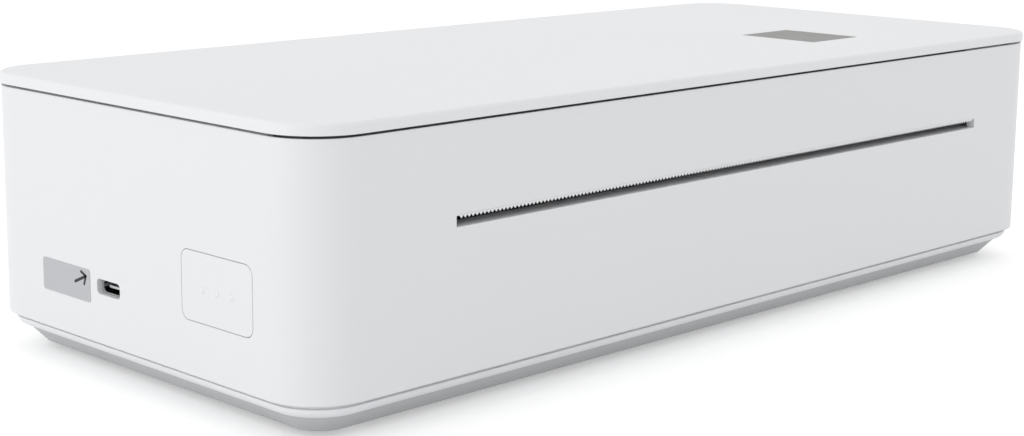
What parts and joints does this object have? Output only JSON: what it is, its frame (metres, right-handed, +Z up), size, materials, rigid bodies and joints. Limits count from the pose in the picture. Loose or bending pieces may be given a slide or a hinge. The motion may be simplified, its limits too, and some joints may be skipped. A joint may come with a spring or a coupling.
{
  "type": "portable thermal printer",
  "caption": "Slim portable thermal printer with a hinged slab lid over a paper roll bay, a serrated exit slot in front, and a push button and charging socket on its left end.",
  "frame": {"origin": "under the middle of the printer, on the table it stands on", "axes": "+X along the long side to the right, +Y to the rear, +Z up"},
  "size_m": [0.301, 0.135, 0.073],
  "materials": {
    "aluminium": "extruded",
    "base_grey": "satin moulding",
    "board_green": "solder mask",
    "bush_black": "acetal",
    "button_white": "fine satin moulding",
    "casing_white": "fine satin moulding",
    "cell_blue": "shrink film",
    "ceramic_dark": "glazed",
    "foot_rubber": "matt",
    "gear_white": "acetal",
    "inner_grey": "matt moulding",
    "label_silver": "brushed foil",
    "lid_white": "fine satin moulding",
    "magnet": "nickel",
    "motor_steel": "rolled",
    "pipe_clear": "frosted",
    "plate_grey": "smooth, smoked",
    "platen_black": "ground",
    "socket_metal": "plated",
    "steel": "zinc plated",
    "switch_black": "matt",
    "tooth_white": "fine satin moulding"
  },
  "bodies": {
    "casing": {"base_tray": "base_grey", "skirt_band": "casing_white", "body_shell": "casing_white", "tear_bar": "tooth_white", "strike_plates": "steel", "hinge_pins": "steel", "inner_tub": "inner_grey", "exit_lip": "casing_white", "paper_sensor": "switch_black", "side_plate_left": "steel", "side_plate_right": "steel", "platen_bushes": "bush_black", "idler_post": "steel", "motor": "motor_steel", "motor_bracket": "steel", "main_board": "board_green", "usb_connector": "socket_metal", "port_label": "label_silver", "tact_switch": "switch_black", "battery_cells": "cell_blue", "battery_cradle": "bush_black", "feet": "foot_rubber", "case_screws": "steel", "deck_screws": "steel"},
    "lid": {"lid_panel": "lid_white", "lid_liner": "inner_grey", "lid_window": "plate_grey", "lid_magnets": "magnet", "head_bracket": "steel", "head_springs": "steel", "head_screws": "steel"},
    "print_head": {"head_ceramic": "ceramic_dark", "head_heatsink": "aluminium"},
    "platen": {"platen_shaft": "steel", "platen_rubber": "platen_black", "platen_gear": "gear_white"},
    "idler": {"idler_gear": "gear_white"},
    "rotor": {"motor_pinion": "gear_white", "motor_shaft": "steel"},
    "guide_left": {"paper_guide_left": "inner_grey"},
    "guide_right": {"paper_guide_right": "inner_grey"},
    "guide_gear": {"guide_pinion": "gear_white"},
    "button": {"button_cap": "button_white", "led_pipes": "pipe_clear", "switch_plunger": "switch_black"}
  },
  "joints": [
    {"name": "lid_hinge", "type": "hinge", "parent": "casing", "child": "lid", "pos_m": [0, 0.0625, 0.06225], "axis": [-1, 0, 0], "range_deg": [0, 95]},
    {"name": "head_slide", "type": "slide", "parent": "lid", "child": "print_head", "axis": [0, 0, 1], "range_m": [0, 0.001], "stiffness_N_per_m": 4000, "springref_m": -0.001, "deforming": ["head_springs"]},
    {"name": "platen_spin", "type": "hinge", "parent": "casing", "child": "platen", "pos_m": [0.00365, -0.052, 0.0396], "axis": [1, 0, 0], "continuous": true},
    {"name": "idler_spin", "type": "hinge", "parent": "casing", "child": "idler", "pos_m": [0.11965, -0.03095, 0.03194], "axis": [1, 0, 0], "continuous": true},
    {"name": "motor_spin", "type": "hinge", "parent": "casing", "child": "rotor", "pos_m": [0.11965, -0.01204, 0.0286], "axis": [1, 0, 0], "continuous": true},
    {"name": "guide_gear_spin", "type": "hinge", "parent": "casing", "child": "guide_gear", "pos_m": [0.00365, 0.012, 0.006], "axis": [0, 0, 1], "range_deg": [0, 343.82]},
    {"name": "guide_left_slide", "type": "slide", "parent": "casing", "child": "guide_left", "axis": [1, 0, 0], "range_m": [0, 0.078]},
    {"name": "guide_right_slide", "type": "slide", "parent": "casing", "child": "guide_right", "axis": [-1, 0, 0], "range_m": [0, 0.07801]},
    {"name": "button_press", "type": "slide", "parent": "casing", "child": "button", "axis": [1, 0, 0], "range_m": [0, 0.0008], "stiffness_N_per_m": 800, "springref_m": -0.0005}
  ],
  "couplings": [
    {"joint": "idler_spin", "follows": "platen_spin", "ratio": -0.75},
    {"joint": "motor_spin", "follows": "platen_spin", "ratio": 1.5},
    {"joint": "guide_gear_spin", "follows": "guide_left_slide", "rad_per_m": 76.923},
    {"joint": "guide_right_slide", "follows": "guide_left_slide", "ratio": 1}
  ]
}
